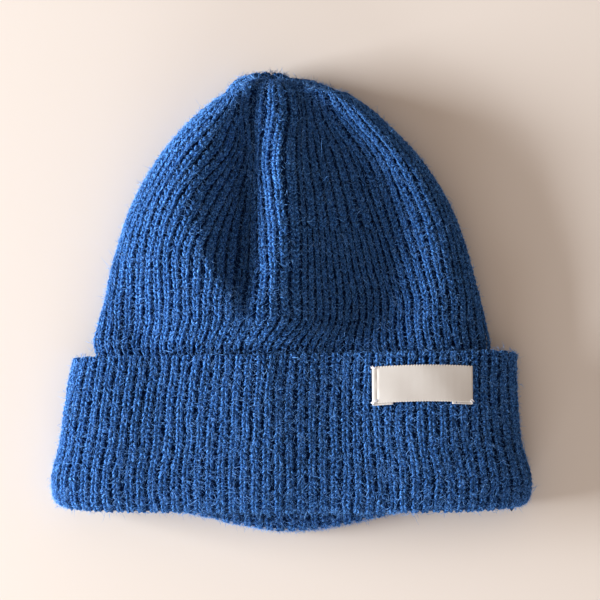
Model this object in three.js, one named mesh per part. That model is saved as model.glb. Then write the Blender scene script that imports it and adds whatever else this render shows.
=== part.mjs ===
// A knitted baby hat, lying flat on its back. The crown is a ribbed tube that a gather closes at the top.
// The cuff is turned up over the crown's lower part, and a short woven tape is sewn to its front.
// Units are millimetres. X runs across the hat, Y from its opening to its top, Z up from the surface.
import * as THREE from 'three';

// Driving sizes of the whole hat.
const HAT_LENGTH = 162;
const CROWN_WIDTH = 147;
const CROWN_HEIGHT = 25.5;
const WALL = 3;
const RIBS = 88;
const RIB_DEPTH = 1.3;

// Driving sizes of the turned-up cuff. LEG is how far its fabric runs back up inside the opening.
const CUFF_WIDTH = 178;
const CUFF_DEPTH = 57.5;
const CUFF_HEIGHT = 20.5;
const LEG = 9;
const BACK_DROP = 8.5;
const BACK_DROP_REACH = 52;
const CORNER_RISE = 2;

// Driving sizes of the label. It keeps its place from the cuff's right side and from the cuff's edge.
const LABEL_WIDTH = 36.5;
const LABEL_DEPTH = 13.5;
const LABEL_THICKNESS = 0.8;
const LABEL_FROM_SIDE = 23;
const LABEL_BELOW_EDGE = 10;
const LABEL_TURN = THREE.MathUtils.degToRad(0.5);
const LABEL_ACROSS = CUFF_WIDTH / 2 - LABEL_FROM_SIDE - LABEL_WIDTH / 2;

// Clearances: between two layers of knit, and between pieces that meet face to face.
const LAYER_GAP = 0.6;
const SEAM_GAP = 0.3;

// Roundness of a lying section: 2 is an ellipse, more is fuller at its corners. The side level is the height
// of its widest place, as a share of the way from its underside to its first crest.
const CROWN_SHAPE = { fullness: 1.6, sideLevel: 0.3 };
const CUFF_SHAPE = { fullness: 2, sideLevel: 0.42 };
const BACK_FULLNESS = 3.6;
const PRESSED = 0.8;

// How the front falls into its valley and rises from it to the ridge: above 1 keeps the first part gentle.
const VALLEY_FALL = 1.4;
const RIDGE_RISE = 1.5;
const RIDGE_FALL = 0.8;

// The crown from the cuff's edge to its shoulder. Along is a share of HAT_LENGTH. Left and right are the
// outline, and the x columns are the crests and valleys of the front, all as shares of half the CROWN_WIDTH.
// The z columns are the front's heights there and lift is the underside's, as shares of CROWN_HEIGHT.
const CROWN_ROWS = [
  { along: 0.355, left: 0.99, right: 1.00, lift: 0.14,
    crestX: -0.30, crestZ: 0.64, valleyX: -0.22, valleyZ: 0.64, ridgeX: -0.14, ridgeZ: 0.64,
    hollowX: 0.48, hollowZ: 0.57, puffX: 0.66, puffZ: 0.58 },
  { along: 0.382, left: 1.00, right: 1.00, lift: 0.125,
    crestX: -0.29, crestZ: 0.78, valleyX: -0.21, valleyZ: 0.78, ridgeX: -0.13, ridgeZ: 0.78,
    hollowX: 0.48, hollowZ: 0.56, puffX: 0.68, puffZ: 0.59 },
  { along: 0.43, left: 0.975, right: 0.98, lift: 0.03,
    crestX: -0.30, crestZ: 0.93, valleyX: -0.21, valleyZ: 0.90, ridgeX: -0.13, ridgeZ: 0.91,
    hollowX: 0.48, hollowZ: 0.48, puffX: 0.70, puffZ: 0.60 },
  { along: 0.49, left: 0.94, right: 0.95, lift: 0.00,
    crestX: -0.34, crestZ: 0.99, valleyX: -0.24, valleyZ: 0.86, ridgeX: -0.11, ridgeZ: 0.93,
    hollowX: 0.48, hollowZ: 0.44, puffX: 0.72, puffZ: 0.60 },
  { along: 0.549, left: 0.915, right: 0.915, lift: 0.00,
    crestX: -0.42, crestZ: 1.00, valleyX: -0.25, valleyZ: 0.66, ridgeX: -0.09, ridgeZ: 0.95,
    hollowX: 0.48, hollowZ: 0.42, puffX: 0.73, puffZ: 0.60 },
  { along: 0.617, left: 0.87, right: 0.87, lift: 0.00,
    crestX: -0.50, crestZ: 1.00, valleyX: -0.235, valleyZ: 0.54, ridgeX: -0.07, ridgeZ: 0.95,
    hollowX: 0.47, hollowZ: 0.41, puffX: 0.71, puffZ: 0.59 },
  { along: 0.685, left: 0.82, right: 0.815, lift: 0.00,
    crestX: -0.535, crestZ: 0.99, valleyX: -0.23, valleyZ: 0.50, ridgeX: -0.06, ridgeZ: 0.95,
    hollowX: 0.44, hollowZ: 0.41, puffX: 0.67, puffZ: 0.58 },
  { along: 0.755, left: 0.745, right: 0.73, lift: 0.00,
    crestX: -0.52, crestZ: 0.96, valleyX: -0.23, valleyZ: 0.48, ridgeX: -0.06, ridgeZ: 0.92,
    hollowX: 0.37, hollowZ: 0.42, puffX: 0.60, puffZ: 0.60 },
  { along: 0.82, left: 0.65, right: 0.625, lift: 0.01,
    crestX: -0.475, crestZ: 0.90, valleyX: -0.23, valleyZ: 0.49, ridgeX: -0.06, ridgeZ: 0.86,
    hollowX: 0.30, hollowZ: 0.44, puffX: 0.50, puffZ: 0.62 },
  { along: 0.875, left: 0.55, right: 0.505, lift: 0.02,
    crestX: -0.41, crestZ: 0.84, valleyX: -0.225, valleyZ: 0.54, ridgeX: -0.07, ridgeZ: 0.79,
    hollowX: 0.22, hollowZ: 0.49, puffX: 0.40, puffZ: 0.62 },
  { along: 0.922, left: 0.44, right: 0.39, lift: 0.04,
    crestX: -0.32, crestZ: 0.76, valleyX: -0.21, valleyZ: 0.59, ridgeX: -0.08, ridgeZ: 0.72,
    hollowX: 0.14, hollowZ: 0.53, puffX: 0.29, puffZ: 0.61 },
  { along: 0.957, left: 0.335, right: 0.275, lift: 0.08,
    crestX: -0.23, crestZ: 0.68, valleyX: -0.17, valleyZ: 0.60, ridgeX: -0.08, ridgeZ: 0.67,
    hollowX: 0.05, hollowZ: 0.56, puffX: 0.17, puffZ: 0.59 },
];

// The dent low on the crown's left, above the cuff: its middle and reach as shares of the sizes above.
const LOW_DENT = { along: 0.43, across: -0.76, reachAlong: 0.09, reachAcross: 0.12, depth: 0.15 };

// The gather: rings of the crown's last section drawn together to a point. Size is each ring's share of it,
// ahead is how far the ring lies past it and tilt how far it leans back, as shares of GATHER_LENGTH.
const GATHER_LENGTH = 7;
const GATHER_ACROSS = -0.09;
const GATHER_ROWS = [
  { size: 0.86, ahead: 0.36, tilt: 0.10, lobes: 0.04 },
  { size: 0.66, ahead: 0.72, tilt: 0.30, lobes: 0.09 },
  { size: 0.44, ahead: 0.86, tilt: 0.45, lobes: 0.14 },
  { size: 0.22, ahead: 0.66, tilt: 0.40, lobes: 0.18 },
];
const INNER_GATHER_ROWS = [{ size: 0.6, ahead: 0.5, tilt: 0, lobes: 0 }];
const GATHER_HOLLOW = 0.25;
const GATHER_LOBES = 11;
const DECREASE_ALONG = 0.86;
const DECREASE_REACH = 0.04;

// The cuff from its fold up to its edge. Up is a share of CUFF_DEPTH. Left, right and the x columns are
// shares of half the CUFF_WIDTH, and the z columns are shares of CUFF_HEIGHT.
const CUFF_ROWS = [
  { up: 0.00, left: 0.985, right: 0.985, crestX: -0.70, crestZ: 0.90, valleyX: -0.58, valleyZ: 0.90,
    ridgeX: -0.10, ridgeZ: 0.99, hollowX: 0.20, hollowZ: 0.92, puffX: 0.42, puffZ: 0.90 },
  { up: 0.14, left: 1.00, right: 1.00, crestX: -0.70, crestZ: 0.91, valleyX: -0.58, valleyZ: 0.91,
    ridgeX: -0.10, ridgeZ: 1.00, hollowX: 0.20, hollowZ: 0.93, puffX: 0.42, puffZ: 0.91 },
  { up: 0.45, left: 0.965, right: 0.957, crestX: -0.69, crestZ: 0.89, valleyX: -0.57, valleyZ: 0.89,
    ridgeX: -0.10, ridgeZ: 1.00, hollowX: 0.26, hollowZ: 0.90, puffX: 0.43, puffZ: 0.91 },
  { up: 0.70, left: 0.943, right: 0.942, crestX: -0.67, crestZ: 0.87, valleyX: -0.56, valleyZ: 0.87,
    ridgeX: -0.12, ridgeZ: 1.00, hollowX: 0.26, hollowZ: 0.87, puffX: 0.44, puffZ: 0.90 },
  { up: 1.00, left: 0.91, right: 0.94, crestX: -0.64, crestZ: 0.86, valleyX: -0.54, valleyZ: 0.86,
    ridgeX: -0.14, ridgeZ: 0.99, hollowX: 0.26, hollowZ: 0.86, puffX: 0.44, puffZ: 0.89 },
];

const FOLDS = ['crest', 'valley', 'ridge', 'hollow', 'puff'];
const ARC_STEPS = 24;
const FRONT_STEPS = 90;
const EDGE_ROUNDING = 0.8;

const wool = new THREE.MeshStandardMaterial({ color: 0x2f5c9c, roughness: 0.95, metalness: 0 });
const wovenTape = new THREE.MeshStandardMaterial({ color: 0xece6de, roughness: 0.7, metalness: 0 });

const mix = THREE.MathUtils.lerp;
const smooth = (value) => THREE.MathUtils.smoothstep(value, 0, 1);

// One row of a table at any place between its rows.
function rowAt(rows, key, place) {
  const last = rows.length - 1;
  const found = rows.findIndex((row) => row[key] >= place);
  const next = found < 0 ? last : Math.max(found, 1);
  const low = rows[next - 1];
  const high = rows[next];
  const share = THREE.MathUtils.clamp((place - low[key]) / (high[key] - low[key]), 0, 1);
  const row = {};
  for (const name of Object.keys(low)) {
    row[name] = mix(low[name], high[name], share);
  }
  return row;
}

// A lying section in millimetres: its two sides, its underside, its fullness and the folds of its front.
function sectionFrom(row, halfWidth, height, bottom, { fullness, sideLevel }) {
  const folds = FOLDS.map((name) => ({ x: row[`${name}X`] * halfWidth, z: row[`${name}Z`] * height }));
  const side = bottom + (folds[0].z - bottom) * sideLevel;
  return { left: -row.left * halfWidth, right: row.right * halfWidth, bottom, side, fullness, folds };
}

// A section of the cuff's outer face at a height above the fold.
function cuffSection(up) {
  const row = rowAt(CUFF_ROWS, 'up', up / CUFF_DEPTH);
  return sectionFrom(row, CUFF_WIDTH / 2, CUFF_HEIGHT, 0, CUFF_SHAPE);
}

// A section of the crown at a place along the hat.
function crownSection(along) {
  const row = rowAt(CROWN_ROWS, 'along', along / HAT_LENGTH);
  const bottom = along > CUFF_DEPTH ? row.lift * CROWN_HEIGHT : WALL + LAYER_GAP;
  return sectionFrom(row, CROWN_WIDTH / 2, CROWN_HEIGHT, bottom, CROWN_SHAPE);
}

// How far the front has gone from one height to the next, by the name of the fold that it runs towards.
function foldShare(name, share) {
  if (name === 'ridge') {
    return 1 - (1 - share) ** RIDGE_RISE;
  }
  const powers = { valley: VALLEY_FALL, hollow: RIDGE_FALL };
  return smooth(share ** (powers[name] ?? 1));
}

// The height of a section's front between its first and its last fold.
function foldHeight(folds, x) {
  const found = folds.findIndex((fold) => fold.x >= x);
  const next = found < 0 ? folds.length - 1 : Math.max(found, 1);
  const from = folds[next - 1];
  const to = folds[next];
  const share = THREE.MathUtils.clamp((x - from.x) / (to.x - from.x), 0, 1);
  return mix(from.z, to.z, foldShare(FOLDS[next], share));
}

// A quarter of a full ellipse from a side point to a crest, or back, as points of x and z.
function quarter(sideX, sideZ, crestX, crestZ, fullness) {
  const points = [];
  for (let step = 0; step <= ARC_STEPS; step += 1) {
    const angle = (step / ARC_STEPS) * (Math.PI / 2);
    const across = Math.cos(angle) ** (2 / fullness);
    const up = Math.sin(angle) ** (2 / fullness);
    points.push(new THREE.Vector2(mix(crestX, sideX, across), mix(sideZ, crestZ, up)));
  }
  return points;
}

// The front of a section, from its left side over the folds to its right side.
function frontLine(section) {
  const first = section.folds[0];
  const last = section.folds.at(-1);
  const points = quarter(section.left, section.side, first.x, first.z, section.fullness);
  for (let step = 1; step < FRONT_STEPS; step += 1) {
    const x = mix(first.x, last.x, step / FRONT_STEPS);
    points.push(new THREE.Vector2(x, foldHeight(section.folds, x)));
  }
  const fall = quarter(section.right, section.side, last.x, last.z, section.fullness);
  return points.concat(fall.reverse());
}

// The back of a section, from its right side underneath to its left side, pressed flat where it rests.
function backLine(section) {
  const middle = (section.left + section.right) / 2;
  const under = section.bottom - PRESSED;
  const fall = quarter(section.right, section.side, middle, under, BACK_FULLNESS);
  const rise = quarter(section.left, section.side, middle, under, BACK_FULLNESS);
  const points = fall.concat(rise.reverse());
  for (const point of points) {
    point.y = Math.max(point.y, section.bottom);
  }
  return points;
}

// Points at even distances along a line, its first point included and its last one left out.
function evenly(line, count) {
  const lengths = [0];
  for (let index = 1; index < line.length; index += 1) {
    lengths.push(lengths[index - 1] + line[index].distanceTo(line[index - 1]));
  }
  const points = [];
  let index = 1;
  for (let step = 0; step < count; step += 1) {
    const target = (step / count) * lengths.at(-1);
    while (lengths[index] < target) {
      index += 1;
    }
    const share = (target - lengths[index - 1]) / (lengths[index] - lengths[index - 1]);
    points.push(line[index - 1].clone().lerp(line[index], share));
  }
  return points;
}

// The points of a whole section, perRib of them for each rib.
function sectionPoints(section, perRib) {
  const half = (RIBS / 2) * perRib;
  return evenly(frontLine(section), half).concat(evenly(backLine(section), half));
}

// The inward direction of a closed line at each of its points.
function inwardDirections(points) {
  const count = points.length;
  return points.map((point, index) => {
    const before = points[(index + count - 1) % count];
    const after = points[(index + 1) % count];
    return new THREE.Vector2(after.y - before.y, before.x - after.x).normalize();
  });
}

// How deep the furrow between two ribs is. Where the hat rests the ribs are pressed level, and past the
// decreases every second furrow closes while the others deepen.
function furrowDepth(rib, height, along) {
  const pressed = smooth(height / (2 * RIB_DEPTH));
  const merged = smooth((along / HAT_LENGTH - DECREASE_ALONG) / DECREASE_REACH);
  const change = rib % 2 === 0 ? 1 - merged : 1 + merged / 2;
  return RIB_DEPTH * pressed * change;
}

// A section's points moved inwards by an inset, and by the furrows between the ribs where it has two a rib.
function insetPoints(section, perRib, inset, along) {
  const points = sectionPoints(section, perRib);
  const inward = inwardDirections(points);
  return points.map((point, index) => {
    const isFurrow = perRib === 2 && index % 2 === 1;
    const furrow = isFurrow ? furrowDepth((index - 1) / 2, point.y - section.bottom, along) : 0;
    return point.clone().addScaledVector(inward[index], inset + furrow);
  });
}

// The cuff's inner face at its edge, from the left side over the front to the right side.
const CUFF_MOUTH = insetPoints(cuffSection(CUFF_DEPTH), 1, WALL + LAYER_GAP, CUFF_DEPTH)
  .slice(0, RIBS / 2 + 1)
  .sort((one, other) => one.x - other.x);

// The height of the cuff's inner face at its edge over a place across.
function mouthHeight(x) {
  const found = CUFF_MOUTH.findIndex((point) => point.x >= x);
  const next = found < 0 ? CUFF_MOUTH.length - 1 : Math.max(found, 1);
  const from = CUFF_MOUTH[next - 1];
  const to = CUFF_MOUTH[next];
  return mix(from.y, to.y, THREE.MathUtils.clamp((x - from.x) / (to.x - from.x), 0, 1));
}

// The front of a ring of the crown kept under the cuff's inner face as far as the cuff's edge.
function underCuff(points, inset, along) {
  const rise = Math.max(along - CUFF_DEPTH, 0) - inset;
  return points.map((point, index) => {
    const isFront = index < points.length / 2;
    const ceiling = isFront ? mouthHeight(point.x) + rise : point.y;
    return new THREE.Vector2(point.x, Math.min(point.y, ceiling));
  });
}

// How far a point of the cuff lies past its height up the hat: the back's fold sags out at the opening,
// and both folds rise a little into the corners.
function foldShift(index, count, x, up) {
  const isBack = index >= count / 2;
  const reach = Math.min(Math.abs(x) / BACK_DROP_REACH, 1);
  const drop = isBack ? BACK_DROP * (1 - reach * reach) ** 2 : 0;
  const corner = CORNER_RISE * (Math.abs(x) / (CUFF_WIDTH / 2)) ** 8;
  const fade = (1 - Math.min(up / CUFF_DEPTH, 1)) ** 2;
  return (corner - drop) * fade;
}

// The heights of the cuff's own rows between its fold and its edge, which its layers and the crown share.
function cuffHeights(first) {
  return CUFF_ROWS.slice(first, -1).map((row) => row.up * CUFF_DEPTH);
}

// A ring of the cuff's height: its points of x and z, set at their places up the hat.
function ringInSpace(points, up) {
  return points.map((point, index) => {
    const shift = foldShift(index, points.length, point.x, up);
    return new THREE.Vector3(point.x, up + shift, point.y);
  });
}

// A ring of the cuff: a section at a height above the fold, moved in by an inset.
function cuffRing(inset, up, perRib) {
  const points = insetPoints(cuffSection(Math.max(up, 0)), perRib, inset, up);
  return ringInSpace(points, up);
}

// A ring of the crown inside the cuff. At its lower edge it follows the cuff's inner face, and towards the
// cuff's edge it turns into the crown's own section.
function tuckedRing(inset, up) {
  const lining = insetPoints(cuffSection(up), 1, WALL + LAYER_GAP + inset, up);
  const own = underCuff(insetPoints(crownSection(CUFF_DEPTH), 1, inset, up), inset, CUFF_DEPTH);
  const share = smooth((up - LEG) / (CUFF_DEPTH - LEG));
  const points = lining.map((point, index) => point.clone().lerp(own[index], share));
  return ringInSpace(points, up);
}

// How deep the low dent is over a point of the crown's plan.
function lowDent(x, along) {
  const across = (x / (CROWN_WIDTH / 2) - LOW_DENT.across) / LOW_DENT.reachAcross;
  const up = (along / HAT_LENGTH - LOW_DENT.along) / LOW_DENT.reachAlong;
  return LOW_DENT.depth * CROWN_HEIGHT * Math.exp(-across * across - up * up);
}

// A ring of the crown past the cuff. The low dent fades towards the side of the hat.
function crownRing(inset, along, perRib) {
  const section = crownSection(along);
  const points = underCuff(insetPoints(section, perRib, inset, along), inset, along);
  return points.map((point, index) => {
    const isFront = index < points.length / 2;
    const share = isFront ? smooth((point.y - section.side) / section.side) : 0;
    return new THREE.Vector3(point.x, along, point.y - lowDent(point.x, along) * share);
  });
}

// The rings that draw the crown's last ring together, and the point where they end.
function gatherRings(shoulder, rows) {
  const middle = new THREE.Vector3();
  for (const point of shoulder) {
    middle.addScaledVector(point, 1 / shoulder.length);
  }
  middle.x = GATHER_ACROSS * (CROWN_WIDTH / 2);
  const height = CROWN_HEIGHT / 2;
  const rings = rows.map((row) => shoulder.map((point, index) => {
    const turn = (index / shoulder.length) * GATHER_LOBES * 2 * Math.PI;
    const size = row.size * (1 + row.lobes * Math.cos(turn));
    const lean = row.tilt * GATHER_LENGTH * (point.z - middle.z) / height;
    const moved = middle.clone().lerp(point, size);
    moved.y += row.ahead * GATHER_LENGTH - lean;
    return moved;
  }));
  const tip = middle.clone();
  tip.y += GATHER_HOLLOW * GATHER_LENGTH;
  return { rings, tip };
}

// A closed body from rings. Each ring is joined to the next, where one may have twice the other's points.
class Body {
  constructor() {
    this.positions = [];
    this.faces = [];
  }

  addRing(points) {
    const start = this.positions.length / 3;
    for (const point of points) {
      this.positions.push(point.x, point.y, point.z);
    }
    return { start, count: points.length };
  }

  join(low, high) {
    const count = Math.min(low.count, high.count);
    const lowStep = low.count / count;
    const highStep = high.count / count;
    for (let index = 0; index < count; index += 1) {
      const next = (index + 1) % count;
      const a = low.start + index * lowStep;
      const b = low.start + next * lowStep;
      const c = high.start + next * highStep;
      const d = high.start + index * highStep;
      if (lowStep === highStep) {
        this.faces.push(a, b, c, a, c, d);
      } else if (lowStep === 2) {
        this.faces.push(a, a + 1, d, a + 1, c, d, a + 1, b, c);
      } else {
        this.faces.push(a, b, d + 1, a, d + 1, d, b, c, d + 1);
      }
    }
  }

  joinAll(rings) {
    const added = rings.map((ring) => this.addRing(ring));
    for (let index = 1; index < added.length; index += 1) {
      this.join(added[index - 1], added[index]);
    }
    return added;
  }

  close(ring, tip, outward) {
    const point = this.addRing([tip]).start;
    for (let index = 0; index < ring.count; index += 1) {
      const a = ring.start + index;
      const b = ring.start + (index + 1) % ring.count;
      this.faces.push(...(outward ? [a, b, point] : [b, a, point]));
    }
  }

  mesh(name, material) {
    const geometry = new THREE.BufferGeometry();
    geometry.setAttribute('position', new THREE.Float32BufferAttribute(this.positions, 3));
    geometry.setIndex(this.faces);
    geometry.computeVertexNormals();
    const mesh = new THREE.Mesh(geometry, material);
    mesh.name = name;
    return mesh;
  }
}

// The crown: its outer face from the lower edge to the gather, and its inner face back down again.
function makeCrown() {
  const lowerEdge = LEG + SEAM_GAP;
  const insideCuff = [lowerEdge, ...cuffHeights(2)];
  const outerAlong = CROWN_ROWS.map((row) => row.along * HAT_LENGTH);
  outerAlong[0] = CUFF_DEPTH;
  const outer = [...insideCuff, CUFF_DEPTH - 2 * WALL].map((up) => tuckedRing(0, up));
  outer.push(...outerAlong.map((along) => crownRing(0, along, 2)));
  const outerGather = gatherRings(crownRing(0, outerAlong.at(-1), 1), GATHER_ROWS);
  outer.push(...outerGather.rings);

  const body = new Body();
  const outerRings = body.joinAll(outer);
  body.close(outerRings.at(-1), outerGather.tip, true);

  const innerRows = CROWN_ROWS.filter((row, index) => index % 2 === 0).slice(1);
  const innerAlong = innerRows.map((row) => row.along * HAT_LENGTH);
  const inner = [...insideCuff, CUFF_DEPTH].map((up) => tuckedRing(WALL, up));
  inner.push(...innerAlong.map((along) => crownRing(WALL, along, 1)));
  const innerGather = gatherRings(inner.at(-1), INNER_GATHER_ROWS);
  inner.push(...innerGather.rings);
  const innerRings = body.joinAll(inner.reverse());
  body.close(innerRings[0], innerGather.tip, false);
  body.join(innerRings.at(-1), outerRings[0]);
  return body.mesh('crown', wool);
}

// The cuff: a closed profile of insets and heights, taken once round the hat.
function makeCuff() {
  const foldRadius = WALL + LAYER_GAP / 2;
  const legOuter = WALL + LAYER_GAP;
  const legInner = legOuter + WALL;
  const diagonal = foldRadius * (1 - Math.SQRT1_2);
  const heights = cuffHeights(1);
  const profile = [
    { inset: foldRadius, up: 0, perRib: 2 },
    { inset: diagonal, up: diagonal, perRib: 2 },
    ...heights.map((up) => ({ inset: 0, up, perRib: 2 })),
    { inset: 0, up: CUFF_DEPTH - EDGE_ROUNDING, perRib: 2 },
    { inset: EDGE_ROUNDING, up: CUFF_DEPTH, perRib: 2 },
    { inset: WALL - EDGE_ROUNDING, up: CUFF_DEPTH, perRib: 1 },
    { inset: WALL, up: CUFF_DEPTH - EDGE_ROUNDING, perRib: 1 },
    ...heights.reverse().map((up) => ({ inset: WALL, up, perRib: 1 })),
    { inset: foldRadius, up: foldRadius, perRib: 1 },
    { inset: legOuter, up: heights.at(-1), perRib: 1 },
    { inset: legOuter, up: LEG, perRib: 1 },
    { inset: legInner, up: LEG, perRib: 1 },
    { inset: legInner, up: foldRadius, perRib: 1 },
    { inset: legInner - diagonal, up: diagonal, perRib: 1 },
  ];
  const body = new Body();
  const rings = body.joinAll(profile.map(({ inset, up, perRib }) => cuffRing(inset, up, perRib)));
  body.join(rings.at(-1), rings[0]);
  return body.mesh('cuff', wool);
}

// The label: a thin tape that follows the cuff's front.
function makeLabel() {
  const columns = 12;
  const rows = 2;
  const middleUp = CUFF_DEPTH - LABEL_BELOW_EDGE;
  const layers = [LAYER_GAP / 2, LAYER_GAP / 2 + LABEL_THICKNESS];
  const pointAt = (column, row, lift) => {
    const across = (column / columns - 0.5) * LABEL_WIDTH;
    const up = (row / rows - 0.5) * LABEL_DEPTH;
    const x = LABEL_ACROSS + across * Math.cos(LABEL_TURN) - up * Math.sin(LABEL_TURN);
    const y = middleUp + across * Math.sin(LABEL_TURN) + up * Math.cos(LABEL_TURN);
    return new THREE.Vector3(x, y, cuffFrontHeight(x, y) + lift);
  };
  const body = new Body();
  const loops = [];
  for (const lift of layers) {
    for (let row = 0; row <= rows; row += 1) {
      loops.push(Array.from({ length: columns + 1 }, (_, column) => pointAt(column, row, lift)));
    }
  }
  const added = loops.map((line) => body.addRing(line));
  const [under, over] = [added.slice(0, rows + 1), added.slice(rows + 1)];
  const quad = (a, b, c, d) => body.faces.push(a, b, c, a, c, d);
  for (let row = 0; row < rows; row += 1) {
    for (let column = 0; column < columns; column += 1) {
      const low = row + 1;
      quad(over[row].start + column, over[row].start + column + 1,
        over[low].start + column + 1, over[low].start + column);
      quad(under[low].start + column, under[low].start + column + 1,
        under[row].start + column + 1, under[row].start + column);
    }
    quad(under[row].start, over[row].start, over[row + 1].start, under[row + 1].start);
    quad(under[row + 1].start + columns, over[row + 1].start + columns,
      over[row].start + columns, under[row].start + columns);
  }
  for (let column = 0; column < columns; column += 1) {
    quad(under[0].start + column, under[0].start + column + 1,
      over[0].start + column + 1, over[0].start + column);
    quad(over[rows].start + column, over[rows].start + column + 1,
      under[rows].start + column + 1, under[rows].start + column);
  }
  return body.mesh('label', wovenTape);
}

// The height of the cuff's front over a point of its plan.
function cuffFrontHeight(x, up) {
  const line = frontLine(cuffSection(up));
  const next = Math.max(line.findIndex((point) => point.x >= x), 1);
  const share = (x - line[next - 1].x) / (line[next].x - line[next - 1].x);
  return mix(line[next - 1].y, line[next].y, share);
}

// The hat stands with its underside at the origin's height, centred on it.
const hat = new THREE.Group();
hat.name = 'baby_hat';
hat.add(makeCrown(), makeCuff(), makeLabel());
const box = new THREE.Box3().setFromObject(hat);
const centre = box.getCenter(new THREE.Vector3());
hat.position.set(-centre.x, -centre.y, -box.min.z);
hat.updateMatrixWorld(true);

export default hat;
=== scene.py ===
# A knitted baby hat that lies flat: a ribbed wool crown, its turned-up cuff and a small bare woven label.
# The wool is built stitch by stitch over a thin ribbed wall, with loose hairs standing out of it.
import math
from collections import namedtuple

import bmesh
import bpy
import numpy as np
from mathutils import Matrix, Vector


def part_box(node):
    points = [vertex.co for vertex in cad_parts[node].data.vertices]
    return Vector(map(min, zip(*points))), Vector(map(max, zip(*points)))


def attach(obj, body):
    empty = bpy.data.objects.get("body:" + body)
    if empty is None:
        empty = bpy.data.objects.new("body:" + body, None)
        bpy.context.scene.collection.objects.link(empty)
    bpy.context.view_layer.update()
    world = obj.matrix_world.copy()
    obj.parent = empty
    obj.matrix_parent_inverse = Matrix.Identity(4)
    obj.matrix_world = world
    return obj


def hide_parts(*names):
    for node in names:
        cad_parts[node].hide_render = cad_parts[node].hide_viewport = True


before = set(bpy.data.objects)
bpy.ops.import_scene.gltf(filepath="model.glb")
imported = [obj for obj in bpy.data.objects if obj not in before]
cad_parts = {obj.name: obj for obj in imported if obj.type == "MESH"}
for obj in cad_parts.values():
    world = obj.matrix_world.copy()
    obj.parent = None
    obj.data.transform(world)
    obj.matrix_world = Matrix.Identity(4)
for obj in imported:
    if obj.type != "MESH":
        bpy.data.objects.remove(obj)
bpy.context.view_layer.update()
chance = np.random.default_rng(20)

# Driving sizes of the knit, in metres.
MM = 0.001
WALL = 3 * MM
RIBS = 88
HALF_RIBS = RIBS // 2
ROW_PITCH = 1.94 * MM
HAT_LENGTH = 162 * MM
CROWN_WIDTH = 147 * MM
CROWN_HEIGHT = 25.5 * MM
CUFF_WIDTH = 178 * MM
CUFF_DEPTH = 57.5 * MM
CUFF_HEIGHT = 20.5 * MM
LEG = 9 * MM
LAYER_GAP = 0.6 * MM
SEAM_GAP = 0.3 * MM
BACK_DROP = 8.5 * MM
BACK_DROP_REACH = 52 * MM
CORNER_RISE = 2 * MM
EDGE_TILT = 2.9 * MM
EDGE_CORNER = 1.8 * MM
FOLD_RADIUS = WALL + LAYER_GAP / 2
FOLD_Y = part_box("cuff")[1][1] - CUFF_DEPTH

# Roundness of a lying section: 2 is an ellipse, more is fuller at its corners. The side level is the height
# of its widest place, as a share of the way from its underside to its first crest.
CROWN_SHAPE = {"fullness": 1.6, "side_level": 0.30}
CUFF_SHAPE = {"fullness": 2.0, "side_level": 0.42}
BACK_FULLNESS = 3.6
PRESSED = 0.8 * MM

# The crown's sections from the cuff's edge to its shoulder. Along is a share of HAT_LENGTH, left, right and
# the x columns are shares of half the CROWN_WIDTH, and lift and the z columns are shares of CROWN_HEIGHT.
FOLDS = ("crest", "valley", "ridge", "hollow", "puff")
CROWN_COLUMNS = ("along", "left", "right", "lift", "crest_x", "crest_z", "valley_x", "valley_z",
                 "ridge_x", "ridge_z", "hollow_x", "hollow_z", "puff_x", "puff_z")
CROWN_ROWS = (
    (0.355, 0.990, 1.000, 0.140, -0.300, 0.64, -0.220, 0.64, -0.140, 0.64, 0.480, 0.570, 0.66, 0.58),
    (0.382, 1.000, 1.000, 0.125, -0.290, 0.78, -0.210, 0.78, -0.130, 0.78, 0.480, 0.560, 0.68, 0.59),
    (0.430, 0.975, 0.980, 0.030, -0.300, 0.93, -0.210, 0.90, -0.130, 0.91, 0.480, 0.480, 0.70, 0.60),
    (0.490, 0.940, 0.950, 0.000, -0.340, 0.99, -0.240, 0.86, -0.110, 0.93, 0.480, 0.440, 0.72, 0.60),
    (0.549, 0.915, 0.915, 0.000, -0.420, 1.00, -0.250, 0.66, -0.090, 0.95, 0.480, 0.420, 0.73, 0.60),
    (0.617, 0.870, 0.870, 0.000, -0.500, 1.00, -0.235, 0.54, -0.070, 0.95, 0.470, 0.410, 0.71, 0.59),
    (0.685, 0.820, 0.815, 0.000, -0.535, 0.99, -0.230, 0.50, -0.060, 0.95, 0.440, 0.410, 0.67, 0.58),
    (0.755, 0.745, 0.730, 0.000, -0.520, 0.96, -0.230, 0.48, -0.060, 0.92, 0.370, 0.420, 0.60, 0.60),
    (0.820, 0.650, 0.625, 0.010, -0.475, 0.90, -0.230, 0.49, -0.060, 0.86, 0.300, 0.440, 0.50, 0.62),
    (0.875, 0.550, 0.505, 0.020, -0.410, 0.84, -0.225, 0.54, -0.070, 0.79, 0.220, 0.490, 0.40, 0.62),
    (0.922, 0.440, 0.390, 0.040, -0.320, 0.76, -0.210, 0.59, -0.080, 0.72, 0.140, 0.530, 0.29, 0.61),
    (0.957, 0.335, 0.275, 0.080, -0.230, 0.68, -0.170, 0.60, -0.080, 0.67, 0.050, 0.560, 0.17, 0.59),
)
SHOULDER = CROWN_ROWS[-1][0] * HAT_LENGTH

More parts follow.
